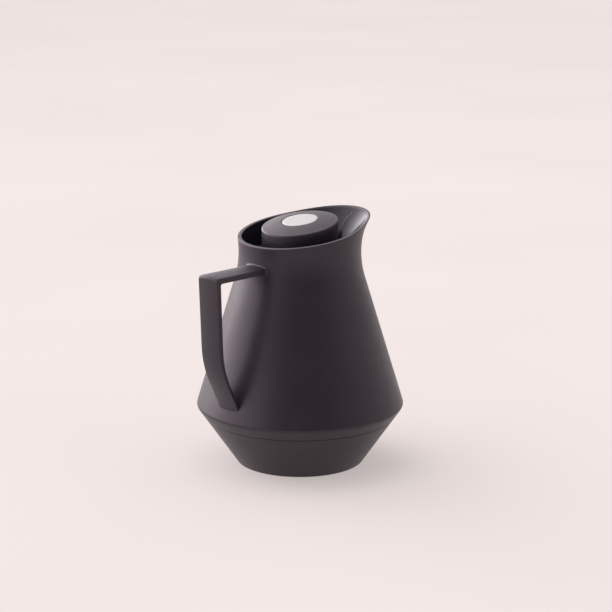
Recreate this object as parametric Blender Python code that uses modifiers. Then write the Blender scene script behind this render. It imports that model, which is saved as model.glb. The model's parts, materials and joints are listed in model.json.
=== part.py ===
"""Thermal coffee jug: a double-walled flask in a conical casing, with a push-button stopper.

The jug stands on its foot pad at the origin with +Z up.  The spout points along +X and the
handle along -X.  All sizes are in metres and all angles in degrees.
"""
import math

import bmesh
import bpy

# Casing
BASE_RADIUS = 0.0512
SHOULDER_RADIUS = 0.0839
SHOULDER_HEIGHT = 0.0475
SHOULDER_FILLET = 0.0035
NECK_RADIUS = 0.0489
NECK_HEIGHT = 0.173
NECK_BLEND = 0.074
RIM_RISE = 0.0170
RIM_HEIGHT = NECK_HEIGHT + RIM_RISE
RIM_SLANT = 8.4
RIM_FLARE = 0.0008
SPOUT_LENGTH = 0.0177
SPOUT_SHARPNESS = 9.3
FLARE_POWER = 2.0
CASING_WALL = 0.0022
SEAM_DROP = 0.0085

# Base cup and what stands in it
CUP_WALL = 0.0026
CUP_FLOOR = 0.0026
CUP_SPIGOT = 0.0050
PAD_INSET = 0.0057
PAD_RADIUS = BASE_RADIUS - PAD_INSET
PAD_THICKNESS = 0.0016
PAD_PROUD = 0.0004
CUSHION_RADIUS = 0.0340
CUSHION_HOLE = 0.0100

# Funnel
FUNNEL_WALL = 0.0016
FUNNEL_FLOOR_RISE = 0.0105
CREASE_DEPTH = 0.0009
CREASE_HALF_ANGLE = 15.0
THROAT_RADIUS = 0.0250
THROAT_DROP = 0.0130
THROAT_TOP = NECK_HEIGHT - THROAT_DROP
THROAT_LENGTH = 0.0130

# Flask
GLASS = 0.0020
VACUUM = 0.0032
FLASK_CLEARANCE = 0.0026
FLASK_SIDE_DROP = 0.0342
FLASK_NECK_MARGIN = 0.0025
FLASK_NECK_RADIUS = THROAT_RADIUS + FLASK_NECK_MARGIN
FLASK_NECK_LENGTH = 0.0086
FLASK_SHOULDER_ANGLE = 22.7
FLASK_SHOULDER_FILLET = 0.018
FLASK_NECK_FILLET = 0.005
FLASK_BOTTOM_RISE = 0.0085
FLASK_BOTTOM_ANGLE = 6.0
FLASK_BOTTOM_FILLET = 0.020
TIP_RADIUS = 0.0030
TIP_LENGTH = 0.0045
GASKET_THICKNESS = 0.0022
SPACER_RADIUS = 0.0050
SPACER_THICKNESS = 0.0022
SPACER_HEIGHT = 0.060
SPACER_COUNT = 3

# Handle
HANDLE_WIDTH = 0.021
FINGER_ROOM = 0.0176
HANDLE_REACH = SHOULDER_RADIUS + FINGER_ROOM
GRIP_LEAN = 1.8
GRIP_THICKNESS = 0.0046
ARM_DROP = 0.0057
ARM_TOP = NECK_HEIGHT - ARM_DROP
ARM_THICKNESS = 0.0046
BEND_RISE = 0.0480
BEND_HEIGHT = SHOULDER_HEIGHT + BEND_RISE
BEND_RADIUS = 0.077
TAIL_LEAN = 26.0
TAIL_THICKNESS = 0.0036
CORNER_OUTER = 0.0026
CORNER_INNER = 0.0018
TENON_WIDTH = 0.013
TENON_THICKNESS = 0.0022
TENON_REACH = 0.0060
SCREW_SPREAD = 0.0110
SCREW_RADIUS = 0.0012
SCREW_LENGTH = 0.0110
SCREW_HEAD_RADIUS = 0.0022
SCREW_HEAD_HEIGHT = 0.0016

# Stopper
PLUG_CLEARANCE = 0.0020
PLUG_RADIUS = THROAT_RADIUS - PLUG_CLEARANCE
PLUG_WALL = 0.0025
PLUG_FLOOR = 0.0020
PLUG_LIFT = 0.0030
PLUG_RIM = 0.0014
SEAT_WIDTH = 0.0030
SEAT_RADIUS = THROAT_RADIUS + SEAT_WIDTH
SEAT_THICKNESS = 0.0020
CAP_OVERHANG = 0.0025
CAP_RADIUS = SEAT_RADIUS + CAP_OVERHANG
CAP_WALL = 0.0018
CAP_SLANT = 10.0
CAP_RISE = 0.0079
CAP_TOP = RIM_HEIGHT + CAP_RISE
CAP_CROWN = 0.0026
CROWN_POWER = 1.3
CAP_EDGE = 0.0020
PORT_HEIGHT = 0.0070
PORT_WIDTH = 0.0150
PORT_MARGIN = 0.0006
PORT_COUNT = 4
DECK_THICKNESS = 0.0030
SEAL_HEIGHT = 0.0050
SEAL_LIP = 0.0005
SEAL_LIP_HEIGHT = 0.0020
SEAL_LIP_FLAT = 0.0008

# Button and valve
BUTTON_RADIUS = 0.0142
BUTTON_TRAVEL = 0.004
BUTTON_WALL = 0.0016
BUTTON_SKIRT = 0.0095
BUTTON_TUBE = 0.0110
DISC_THICKNESS = 0.0009
STEM_RADIUS = 0.0020
SOCKET_DEPTH = 0.0040
SOCKET_WALL = 0.0022
VALVE_LEDGE = 0.0090
VALVE_OPENING = PLUG_RADIUS - VALVE_LEDGE
VALVE_LAP = 0.0035
VALVE_RADIUS = VALVE_OPENING + VALVE_LAP
VALVE_THICKNESS = 0.0022
VALVE_SEAL_WIDTH = 0.0024
VALVE_SEAL_THICKNESS = 0.0012
STEM_SEAL_WIDTH = 0.0013
STEM_SEAL_HEIGHT = 0.0016
GUIDE_WALL = 0.0011
SPRING_CLEARANCE = 0.0012
SPRING_WIRE = 0.0005
SPRING_TURNS = 5

# Fits and facets
GAP = 0.0003
SIDES = 48
SMALL_SIDES = 32
PIN_SIDES = 16
EDGE_STEPS = 3
ARC_STEP = 22.5
SHARP_ANGLE = 32.0
MERGE = 0.00001

COLLECTION = "thermal_coffee_jug"
ORIGIN = (0.0, 0.0, 0.0)


# ---------------------------------------------------------------- scene and materials

def clear_scene():
    for item in list(bpy.data.objects):
        bpy.data.objects.remove(item, do_unlink=True)


def new_collection(name):
    collection = bpy.data.collections.new(name)
    bpy.context.scene.collection.children.link(collection)
    return collection


def new_material(name, colour, roughness, metallic=0.0, alpha=1.0):
    material = bpy.data.materials.new(name)
    material.use_nodes = True
    shader = material.node_tree.nodes["Principled BSDF"]
    shader.inputs["Base Color"].default_value = (*colour, 1.0)
    shader.inputs["Roughness"].default_value = roughness
    shader.inputs["Metallic"].default_value = metallic
    shader.inputs["Alpha"].default_value = alpha
    material.diffuse_color = (*colour, alpha)
    return material


clear_scene()
PARTS = new_collection(COLLECTION)
CUTTERS = new_collection("cutters")

CHARCOAL = new_material("charcoal_plastic", (0.035, 0.032, 0.038), 0.42)
GLOSS_BLACK = new_material("gloss_black_plastic", (0.016, 0.016, 0.021), 0.12)
GREY_PLASTIC = new_material("grey_plastic", (0.18, 0.18, 0.19), 0.45)
STEEL = new_material("polished_steel", (0.72, 0.72, 0.71), 0.22, metallic=1.0)
SILICONE = new_material("silicone", (0.55, 0.55, 0.53), 0.55)
RUBBER = new_material("black_rubber", (0.02, 0.02, 0.02), 0.75)
GLASS_MATERIAL = new_material("silvered_glass", (0.78, 0.82, 0.84), 0.06, metallic=0.6)


# ---------------------------------------------------------------- outlines

def rounded(points):
    """Replace each corner (u, v, radius) of an open outline by an arc of that radius."""
    outline = []
    for index, point in enumerate(points):
        if len(point) == 2:
            outline.append(point)
            continue
        u, v, radius = point
        before = points[index - 1]
        after = points[(index + 1) % len(points)]
        into = math.atan2(v - before[1], u - before[0])
        out = math.atan2(after[1] - v, after[0] - u)
        turn = (out - into + math.pi) % (2.0 * math.pi) - math.pi
        reach = radius * math.tan(abs(turn) / 2.0)
        side = math.copysign(1.0, turn)
        centre_u = u - reach * math.cos(into) - side * radius * math.sin(into)
        centre_v = v - reach * math.sin(into) + side * radius * math.cos(into)
        count = max(3, math.ceil(math.degrees(abs(turn)) / ARC_STEP))
        for step in range(count + 1):
            angle = into + turn * step / count
            outline.append((centre_u + side * radius * math.sin(angle),
                            centre_v - side * radius * math.cos(angle)))
    return outline


def casing_tangent():
    """Height and radius where the straight cone runs into the neck's arc, and the cone's tilt."""
    centre_r = NECK_RADIUS + NECK_BLEND
    across = centre_r - SHOULDER_RADIUS
    up = NECK_HEIGHT - SHOULDER_HEIGHT
    tilt = math.asin(NECK_BLEND / math.hypot(across, up)) - math.atan2(across, up)
    height = NECK_HEIGHT - NECK_BLEND * math.sin(tilt)
    radius = centre_r - NECK_BLEND * math.cos(tilt)
    return height, radius, tilt


BLEND_START, BLEND_START_RADIUS, CONE_TILT = casing_tangent()


def rim_reach(angle):
    """Radius of the rim's outline in plan, drawn out into the spout at angle 0."""
    spout = ((1.0 + math.cos(angle)) / 2.0) ** SPOUT_SHARPNESS
    return NECK_RADIUS + RIM_FLARE + SPOUT_LENGTH * spout


def rim_height(angle, radius):
    return RIM_HEIGHT + radius * math.cos(angle) * math.tan(math.radians(RIM_SLANT))


def lower_radius(height):
    """Outer radius of the lower cone, from the base to the shoulder."""
    return BASE_RADIUS + (SHOULDER_RADIUS - BASE_RADIUS) * height / SHOULDER_HEIGHT


def casing_radius(angle, height):
    """Outer radius of the casing above the shoulder."""
    if height <= BLEND_START:
        return SHOULDER_RADIUS - (height - SHOULDER_HEIGHT) * math.tan(CONE_TILT)
    if height <= NECK_HEIGHT:
        return NECK_RADIUS + NECK_BLEND - math.sqrt(NECK_BLEND ** 2 - (NECK_HEIGHT - height) ** 2)
    top = rim_height(angle, rim_reach(angle))
    flare = ((height - NECK_HEIGHT) / (top - NECK_HEIGHT)) ** FLARE_POWER
    return NECK_RADIUS + (rim_reach(angle) - NECK_RADIUS) * flare


def rim_level(angle, inset):
    """Height at which a surface set in from the casing's outside meets the slanted rim."""
    height = rim_height(angle, rim_reach(angle))
    for _ in range(8):
        height = rim_height(angle, casing_radius(angle, height) - inset)
    return height


def flare_outline(angle, inset, steps=5):
    """Neck to rim, upwards, set in from the casing's outside."""
    top = rim_level(angle, inset)
    outline = []
    for step in range(steps + 1):
        height = NECK_HEIGHT + (top - NECK_HEIGHT) * step / steps
        outline.append((casing_radius(angle, height) - inset, height))
    return outline


def blend_outline(inset, steps=3):
    """The cone's top end to just under the neck, upwards."""
    outline = []
    for step in range(steps):
        height = BLEND_START + (NECK_HEIGHT - BLEND_START) * step / steps
        outline.append((casing_radius(0.0, height) - inset, height))
    return outline


# ---------------------------------------------------------------- solids

def add_object(name, mesh, material, collection=PARTS):
    mesh.materials.clear()
    mesh.materials.append(material)
    part = bpy.data.objects.new(name, mesh)
    collection.objects.link(part)
    return part


def shade(mesh):
    mesh.shade_smooth()
    mesh.set_sharp_from_angle(angle=math.radians(SHARP_ANGLE))


def bake(part):
    """Turn an object's modifiers into its mesh and give it smooth faces and sharp edges."""
    graph = bpy.context.evaluated_depsgraph_get()
    mesh = bpy.data.meshes.new_from_object(part.evaluated_get(graph), depsgraph=graph)
    part.modifiers.clear()
    part.data = mesh
    shade(mesh)
    return part


def turned(name, outline, material, sides=SIDES, centre=ORIGIN, collection=PARTS):
    """Turn a closed outline of (radius, height), or one that starts and ends on the axis."""
    mesh = bpy.data.meshes.new(name)
    edges = [(index, index + 1) for index in range(len(outline) - 1)]
    if outline[0][0] > 0.0 or outline[-1][0] > 0.0:
        edges.append((len(outline) - 1, 0))
    mesh.from_pydata([(radius, 0.0, height) for radius, height in outline], edges, [])
    part = add_object(name, mesh, material, collection)
    part.location = centre
    screw = part.modifiers.new("turn", "SCREW")
    screw.axis = "Z"
    screw.angle = math.tau
    screw.steps = sides
    screw.render_steps = sides
    screw.use_merge_vertices = True
    screw.merge_threshold = MERGE
    return bake(part)


def lofted(name, section, material, sides=SIDES, collection=PARTS):
    """Join a closed outline of (radius, height) that changes with the angle round the axis."""
    work = bmesh.new()
    rings = []
    for side in range(sides):
        angle = math.tau * side / sides
        rings.append([work.verts.new((radius * math.cos(angle), radius * math.sin(angle), height))
                      for radius, height in section(angle)])
    outline = section(0.0)
    for side in range(sides):
        here = rings[side]
        there = rings[(side + 1) % sides]
        for index in range(len(here)):
            after = (index + 1) % len(here)
            if outline[index][0] > 0.0 or outline[after][0] > 0.0:
                work.faces.new((here[index], here[after], there[after], there[index]))
    bmesh.ops.remove_doubles(work, verts=work.verts, dist=MERGE)
    bmesh.ops.recalc_face_normals(work, faces=work.faces)
    mesh = bpy.data.meshes.new(name)
    work.to_mesh(mesh)
    work.free()
    shade(mesh)
    return add_object(name, mesh, material, collection)


def strap(name, outline, width, material, collection=PARTS):
    """Extrude a closed outline drawn in the XZ plane to a width along Y."""
    curve = bpy.data.curves.new(name, "CURVE")
    curve.dimensions = "2D"
    curve.fill_mode = "BOTH"
    curve.extrude = width / 2.0
    spline = curve.splines.new("POLY")
    spline.points.add(len(outline) - 1)
    for point, (x, z) in zip(spline.points, outline):
        point.co = (x, z, 0.0, 1.0)
    spline.use_cyclic_u = True
    guide = bpy.data.objects.new(name + "_outline", curve)
    guide.rotation_euler = (math.radians(90.0), 0.0, 0.0)
    collection.objects.link(guide)
    bpy.context.view_layer.update()
    graph = bpy.context.evaluated_depsgraph_get()
    mesh = bpy.data.meshes.new_from_object(guide.evaluated_get(graph))
    mesh.transform(guide.matrix_world)
    bpy.data.objects.remove(guide, do_unlink=True)
    work = bmesh.new()
    work.from_mesh(mesh)
    bmesh.ops.remove_doubles(work, verts=work.verts, dist=MERGE)
    bmesh.ops.recalc_face_normals(work, faces=work.faces)
    work.to_mesh(mesh)
    work.free()
    shade(mesh)
    return add_object(name, mesh, material, collection)


def cylinder(name, radius, low, high, material, axis="Z", sides=SMALL_SIDES, centre=ORIGIN,
             collection=PARTS):
    """A round bar along Z, or along X, from low to high on that axis."""
    work = bmesh.new()
    bmesh.ops.create_cone(work, cap_ends=True, segments=sides, radius1=radius, radius2=radius,
                          depth=high - low)
    mesh = bpy.data.meshes.new(name)
    work.to_mesh(mesh)
    work.free()
    shade(mesh)
    part = add_object(name, mesh, material, collection)
    middle = (low + high) / 2.0
    if axis == "X":
        part.rotation_euler = (0.0, math.radians(90.0), 0.0)
        part.location = (centre[0] + middle, centre[1], centre[2])
    else:
        part.location = (centre[0], centre[1], centre[2] + middle)
    return part


def box(name, size, centre, collection=CUTTERS, turn=0.0):
    work = bmesh.new()
    bmesh.ops.create_cube(work, size=1.0)
    bmesh.ops.scale(work, vec=size, verts=work.verts)
    mesh = bpy.data.meshes.new(name)
    work.to_mesh(mesh)
    work.free()
    part = add_object(name, mesh, GREY_PLASTIC, collection)
    part.location = centre
    part.rotation_euler = (0.0, 0.0, turn)
    return part


def boolean(part, other, operation):
    """Cut or join another solid, which is then kept out of sight as a guide."""
    modifier = part.modifiers.new(operation.lower() + "_" + other.name, "BOOLEAN")
    modifier.operation = operation
    modifier.solver = "EXACT"
    modifier.object = other
    other.hide_render = True
    other.display_type = "WIRE"
    if other.name in PARTS.objects:
        PARTS.objects.unlink(other)
        CUTTERS.objects.link(other)


# ---------------------------------------------------------------- casing and base

SEAM_HEIGHT = SHOULDER_HEIGHT - SEAM_DROP
CUP_CEILING = PAD_THICKNESS + GAP
CUP_FLOOR_TOP = CUP_CEILING + CUP_FLOOR
CUP_LEAN = math.atan2(SHOULDER_RADIUS - BASE_RADIUS, SHOULDER_HEIGHT)


def shoulder_outline(inset):
    """Seam to the foot of the upper cone, upwards, with the shoulder's edge rounded."""
    outline = rounded([
        (lower_radius(SEAM_HEIGHT) - inset, SEAM_HEIGHT),
        (SHOULDER_RADIUS - inset, SHOULDER_HEIGHT, SHOULDER_FILLET),
        (BLEND_START_RADIUS - inset, BLEND_START)])
    return outline[:-1]


def casing_outline(angle, inset):
    return shoulder_outline(inset) + blend_outline(inset) + flare_outline(angle, inset)


def body_shell():
    def section(angle):
        return casing_outline(angle, 0.0) + casing_outline(angle, CASING_WALL)[::-1]
    shell = lofted("body_shell", section, CHARCOAL)
    boolean(shell, tail_tenon("tenon_slot", GAP, CUTTERS), "DIFFERENCE")
    for index, across in enumerate(screw_places()):
        hole = screw_bore("shell_screw_hole_%d" % (index + 1), across, SCREW_RADIUS + GAP)
        boolean(shell, hole, "DIFFERENCE")
    return shell


def base_cup():
    top = SEAM_HEIGHT - GAP
    spigot = lower_radius(SEAM_HEIGHT) - CASING_WALL - GAP
    outline = [
        (0.0, CUP_FLOOR_TOP),
        (lower_radius(CUP_FLOOR_TOP) - CUP_WALL / math.cos(CUP_LEAN), CUP_FLOOR_TOP),
        (spigot - CUP_WALL, top),
        (spigot - CUP_WALL, top + CUP_SPIGOT),
        (spigot, top + CUP_SPIGOT),
        (spigot, top),
        (lower_radius(top), top),
        (lower_radius(PAD_PROUD), PAD_PROUD),
        (PAD_RADIUS + GAP, PAD_PROUD),
        (PAD_RADIUS + GAP, CUP_CEILING),
        (0.0, CUP_CEILING)]
    return turned("base_cup", outline, CHARCOAL)


def foot_pad():
    outline = [(0.0, PAD_THICKNESS), (PAD_RADIUS, PAD_THICKNESS), (PAD_RADIUS, 0.0), (0.0, 0.0)]
    return turned("foot_pad", outline, RUBBER)


def base_cushion():
    """Rubber ring on the cup's floor that the flask's rounded bottom stands in."""
    low = CUP_FLOOR_TOP + GAP
    outline = [
        (CUSHION_HOLE, low),
        (CUSHION_HOLE, flask_bottom(CUSHION_HOLE) - GAP),
        (CUSHION_RADIUS, flask_bottom(CUSHION_RADIUS) - GAP),
        (CUSHION_RADIUS, low)]
    return turned("base_cushion", outline, RUBBER, sides=SMALL_SIDES)


# ---------------------------------------------------------------- funnel

THROAT_BOTTOM = THROAT_TOP - THROAT_LENGTH
FUNNEL_INSET = CASING_WALL + GAP
FUNNEL_RADIUS = NECK_RADIUS - FUNNEL_INSET - FUNNEL_WALL
FLOOR_SLOPE = FUNNEL_FLOOR_RISE / (FUNNEL_RADIUS - THROAT_RADIUS)


def funnel_floor(radius):
    return THROAT_TOP + (radius - THROAT_RADIUS) * FLOOR_SLOPE


def crease(angle):
    """Depth of the pouring groove down the middle of the spout."""
    turn = abs((angle + math.pi) % math.tau - math.pi)
    return CREASE_DEPTH * max(0.0, 1.0 - turn / math.radians(CREASE_HALF_ANGLE))


def pour_funnel():
    """Liner from the rim down to the throat that the stopper sits in."""
    under = FUNNEL_WALL * math.hypot(1.0, FLOOR_SLOPE)
    throat_outer = THROAT_RADIUS + FUNNEL_WALL
    wall_outer = NECK_RADIUS - FUNNEL_INSET

    def section(angle):
        inner = [(THROAT_RADIUS, THROAT_BOTTOM), (THROAT_RADIUS, THROAT_TOP),
                 (FUNNEL_RADIUS, funnel_floor(FUNNEL_RADIUS))]
        groove = crease(angle)
        steps = flare_outline(angle, FUNNEL_INSET + FUNNEL_WALL)
        inner += [steps[0]] + [(radius + groove, height) for radius, height in steps[1:-1]]
        inner += [steps[-1]]
        outer = [(throat_outer, THROAT_BOTTOM), (throat_outer, funnel_floor(throat_outer) - under),
                 (wall_outer, funnel_floor(wall_outer) - under)]
        outer += flare_outline(angle, FUNNEL_INSET)
        return inner + outer[::-1]
    return lofted("pour_funnel", section, GLOSS_BLACK)


# ---------------------------------------------------------------- flask

FLASK_LIP = THROAT_BOTTOM - 2.0 * GAP - GASKET_THICKNESS
FLASK_RADIUS = casing_radius(0.0, FLASK_LIP - FLASK_SIDE_DROP) - CASING_WALL - FLASK_CLEARANCE
FLASK_SHOULDER_RISE = (FLASK_RADIUS - FLASK_NECK_RADIUS) * math.tan(math.radians(FLASK_SHOULDER_ANGLE))
FLASK_SHOULDER_HEIGHT = FLASK_LIP - FLASK_NECK_LENGTH - FLASK_SHOULDER_RISE
FLASK_BOTTOM_HEIGHT = CUP_FLOOR_TOP + FLASK_BOTTOM_RISE


def flask_bottom(radius, inset=0.0):
    """Height of the flask's shallow cone of a bottom, set in from its outside."""
    slope = math.radians(FLASK_BOTTOM_ANGLE)
    return FLASK_BOTTOM_HEIGHT + radius * math.tan(slope) + inset / math.cos(slope)


def flask_outline(inset, top):
    """The flask's outside set in by a distance, from its neck down to its axis."""
    slope = math.radians(FLASK_SHOULDER_ANGLE)
    neck = FLASK_NECK_RADIUS - inset
    side = FLASK_RADIUS - inset
    drop = FLASK_SHOULDER_HEIGHT - inset / math.cos(slope)
    return rounded([
        (neck, top),
        (neck, drop + (FLASK_RADIUS - neck) * math.tan(slope), FLASK_NECK_FILLET + inset),
        (side, drop + inset * math.tan(slope), FLASK_SHOULDER_FILLET - inset),
        (side, flask_bottom(side, inset), FLASK_BOTTOM_FILLET - inset),
        (0.0, flask_bottom(0.0, inset))])


def flask_outer():
    top = FLASK_LIP - GLASS - GAP
    outside = flask_outline(0.0, top)[:-1]
    tip = flask_bottom(0.0) - TIP_LENGTH
    outside += [(TIP_RADIUS, flask_bottom(TIP_RADIUS)), (TIP_RADIUS / 2.0, tip), (0.0, tip)]
    inside = flask_outline(GLASS, top)[::-1]
    return turned("flask_outer", inside + outside, GLASS_MATERIAL, sides=SMALL_SIDES)


def flask_inner():
    """Liner that holds the coffee, with a lip that covers the outer wall's mouth."""
    depth = GLASS + VACUUM
    under = FLASK_LIP - GLASS
    outside = [(FLASK_NECK_RADIUS, FLASK_LIP), (FLASK_NECK_RADIUS, under)]
    outside += flask_outline(depth, under)
    inside = flask_outline(depth + GLASS, FLASK_LIP)[::-1]
    return turned("flask_inner", inside + outside, GLASS_MATERIAL, sides=SMALL_SIDES)


def flask_spacer(index):
    """One of the pads that keep the flask's two walls apart."""
    angle = math.tau * (index + 0.5) / SPACER_COUNT
    inner = FLASK_RADIUS - GLASS - VACUUM + GAP
    pad = cylinder("flask_spacer_%d" % (index + 1), SPACER_RADIUS, 0.0, SPACER_THICKNESS,
                   SILICONE, sides=PIN_SIDES)
    reach = inner + SPACER_THICKNESS / 2.0
    pad.location = (reach * math.cos(angle), reach * math.sin(angle), SPACER_HEIGHT)
    pad.rotation_euler = (0.0, math.radians(90.0), angle)
    return pad


def neck_gasket():
    low = FLASK_LIP + GAP
    high = THROAT_BOTTOM - GAP
    inner = FLASK_NECK_RADIUS - GLASS - VACUUM - GAP
    outline = [(inner, low), (inner, high), (FLASK_NECK_RADIUS, high), (FLASK_NECK_RADIUS, low)]
    return turned("neck_gasket", outline, SILICONE, sides=SMALL_SIDES)


# ---------------------------------------------------------------- handle

ARM_MIDDLE = ARM_TOP - ARM_THICKNESS / 2.0


def grip_line(height, inset):
    """X of the grip's outer face, or of a face set in from it, at a height above the bend."""
    return -HANDLE_REACH + (ARM_TOP - height) * math.tan(math.radians(GRIP_LEAN)) + inset


def tail_point(along, across):
    """Point on the tail: along its length from the bend's corner, across from its outer face."""
    lean = math.radians(TAIL_LEAN)
    corner = (grip_line(BEND_HEIGHT, 0.0), BEND_HEIGHT)
    return (corner[0] + along * math.sin(lean) + across * math.cos(lean),
            corner[1] - along * math.cos(lean) + across * math.sin(lean))


def inner_corner():
    """Where the grip's inner face would meet the tail's, on the inside of the bend."""
    lean = math.radians(TAIL_LEAN)
    slope = math.tan(math.radians(GRIP_LEAN))
    spare = GRIP_THICKNESS - TAIL_THICKNESS * (math.cos(lean) + math.sin(lean) * slope)
    along = spare / (math.sin(lean) - math.cos(lean) * slope)
    return tail_point(along, TAIL_THICKNESS)


def tail_crossing():
    """Length of the tail, from the bend's corner to where its middle meets the casing."""
    along = 0.0
    step = 0.0001
    while True:
        x, z = tail_point(along, TAIL_THICKNESS / 2.0)
        if -x <= casing_radius(math.pi, z):
            return along
        along += step


def handle_outline():
    """The strap seen from the side: outer face from the arm to the tail, then the inner face."""
    inside = NECK_RADIUS - CASING_WALL
    end = tail_crossing() + TENON_REACH
    arm_under = ARM_TOP - ARM_THICKNESS
    return rounded([
        (-inside, ARM_TOP),
        (-HANDLE_REACH, ARM_TOP, CORNER_OUTER),
        (*tail_point(0.0, 0.0), BEND_RADIUS),
        tail_point(end, 0.0),
        tail_point(end, TAIL_THICKNESS),
        (*inner_corner(), BEND_RADIUS - GRIP_THICKNESS),
        (grip_line(arm_under, GRIP_THICKNESS), arm_under, CORNER_INNER),
        (-inside, arm_under)])


def tail_tenon(name, margin, collection=PARTS):
    """Tongue on the tail that hooks through a slot in the casing, or with a margin the slot."""
    middle = tail_crossing()
    low = TAIL_THICKNESS / 2.0 - TENON_THICKNESS / 2.0 - margin
    high = TAIL_THICKNESS / 2.0 + TENON_THICKNESS / 2.0 + margin
    start = middle - TENON_REACH - margin
    end = middle + TENON_REACH + margin
    outline = [tail_point(start, low), tail_point(end, low), tail_point(end, high),
               tail_point(start, high)]
    return strap(name, outline, TENON_WIDTH + 2.0 * margin, CHARCOAL, collection)


def casing_envelope():
    """The casing's outside with a clearance, which trims the handle's ends to the casing."""
    high = NECK_HEIGHT + ARM_THICKNESS
    outline = [(0.0, SEAM_HEIGHT)] + shoulder_outline(-GAP) + blend_outline(-GAP)
    outline += [(NECK_RADIUS + GAP, NECK_HEIGHT), (NECK_RADIUS + GAP, high), (0.0, high)]
    return turned("casing_envelope", outline[::-1], CHARCOAL, collection=CUTTERS)


def screw_places():
    return [-SCREW_SPREAD / 2.0, SCREW_SPREAD / 2.0]


def screw_seat(across):
    """X of the casing's inner wall where a handle screw's head bears on it."""
    inner = casing_radius(math.pi, ARM_MIDDLE) - CASING_WALL
    reach = across + math.copysign(SCREW_HEAD_RADIUS, across)
    return -math.sqrt(inner ** 2 - reach ** 2) * math.cos(math.pi / SIDES)


def screw_bore(name, across, radius):
    seat = screw_seat(across)
    return cylinder(name, radius, seat - SCREW_LENGTH - GAP, seat + SCREW_LENGTH, GREY_PLASTIC,
                    axis="X", sides=PIN_SIDES, centre=(0.0, across, ARM_MIDDLE), collection=CUTTERS)


def handle():
    grip = strap("handle", handle_outline(), HANDLE_WIDTH, CHARCOAL)
    boolean(grip, casing_envelope(), "DIFFERENCE")
    boolean(grip, tail_tenon("tail_tenon", 0.0), "UNION")
    for index, across in enumerate(screw_places()):
        bore = screw_bore("handle_screw_bore_%d" % (index + 1), across, SCREW_RADIUS + GAP)
        boolean(grip, bore, "DIFFERENCE")
    return grip


def handle_screw(index, across):
    """Screw from inside the casing into the arm of the handle."""
    head = screw_seat(across) + GAP + SCREW_HEAD_HEIGHT
    outline = [(0.0, 0.0), (SCREW_HEAD_RADIUS, 0.0), (SCREW_HEAD_RADIUS, -SCREW_HEAD_HEIGHT),
               (SCREW_RADIUS, -SCREW_HEAD_HEIGHT), (SCREW_RADIUS, -SCREW_LENGTH),
               (0.0, -SCREW_LENGTH - SCREW_RADIUS)]
    screw = turned("handle_screw_%d" % index, outline, STEEL, sides=PIN_SIDES,
                   centre=(head, across, ARM_MIDDLE))
    screw.rotation_euler = (0.0, math.radians(90.0), 0.0)
    return screw


# ---------------------------------------------------------------- stopper

PLUG_BOTTOM = THROAT_BOTTOM + PLUG_LIFT
SEAT_LEVEL = funnel_floor(SEAT_RADIUS) + GAP
SEAT_TOP = SEAT_LEVEL + SEAT_THICKNESS
DECK_BOTTOM = SEAT_TOP + PORT_HEIGHT + 2.0 * PORT_MARGIN
DECK_TOP = DECK_BOTTOM + DECK_THICKNESS
STEM_BORE = STEM_RADIUS + GAP
STEM_POCKET = STEM_BORE + STEM_SEAL_WIDTH + GAP
GUIDE_RADIUS = STEM_POCKET + GUIDE_WALL
SPRING_RADIUS = GUIDE_RADIUS + SPRING_CLEARANCE
SEAL_BOTTOM = PLUG_BOTTOM + PLUG_FLOOR
BORE_RADIUS = BUTTON_RADIUS + GAP
BUTTON_ROOF = (CAP_TOP - BUTTON_RADIUS * math.tan(math.radians(CAP_SLANT)) - DISC_THICKNESS - GAP
               - BUTTON_WALL)
BOSS_BOTTOM = BUTTON_ROOF - SOCKET_DEPTH
GUIDE_TOP = BOSS_BOTTOM - BUTTON_TRAVEL - GAP


def cap_plane(angle, radius):
    """Height of the cap's slanted top plane."""
    return CAP_TOP + radius * math.cos(angle) * math.tan(math.radians(CAP_SLANT))


def stopper_plug():
    """Lower stopper: valve seat, chamber, side ports, seat flange and the button's deck."""
    chamber = PLUG_RADIUS - PLUG_WALL
    cap_inner = CAP_RADIUS - CAP_WALL - GAP
    seal_pocket = GUIDE_TOP - STEM_SEAL_HEIGHT - GAP
    outline = [
        (VALVE_OPENING, PLUG_BOTTOM),
        (VALVE_OPENING, PLUG_BOTTOM + PLUG_FLOOR),
        (chamber, PLUG_BOTTOM + PLUG_FLOOR),
        (chamber, DECK_BOTTOM),
        (STEM_BORE, DECK_BOTTOM),
        (STEM_BORE, seal_pocket),
        (STEM_POCKET, seal_pocket),
        (STEM_POCKET, GUIDE_TOP),
        (GUIDE_RADIUS, GUIDE_TOP),
        (GUIDE_RADIUS, DECK_TOP),
        (cap_inner, DECK_TOP),
        (cap_inner, DECK_BOTTOM),
        (PLUG_RADIUS, DECK_BOTTOM),
        (PLUG_RADIUS, SEAT_TOP),
        (SEAT_RADIUS, SEAT_TOP),
        (SEAT_RADIUS, SEAT_LEVEL),
        (THROAT_RADIUS - GAP, THROAT_TOP + GAP),
        (THROAT_RADIUS - GAP, SEAL_BOTTOM + SEAL_HEIGHT + GAP),
        (PLUG_RADIUS, SEAL_BOTTOM + SEAL_HEIGHT + GAP),
        (PLUG_RADIUS, SEAL_BOTTOM - GAP),
        (PLUG_RADIUS + PLUG_RIM, SEAL_BOTTOM - GAP),
        (PLUG_RADIUS + PLUG_RIM, PLUG_BOTTOM)]
    plug = turned("stopper_plug", outline, GREY_PLASTIC, sides=SMALL_SIDES)
    for index in range(PORT_COUNT // 2):
        port = box("port_cutter_%d" % (index + 1), (4.0 * PLUG_RADIUS, PORT_WIDTH, PORT_HEIGHT),
                   (0.0, 0.0, SEAT_TOP + PORT_MARGIN + PORT_HEIGHT / 2.0),
                   turn=math.tau * index / PORT_COUNT + math.pi / PORT_COUNT)
        boolean(plug, port, "DIFFERENCE")
    return plug


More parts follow.
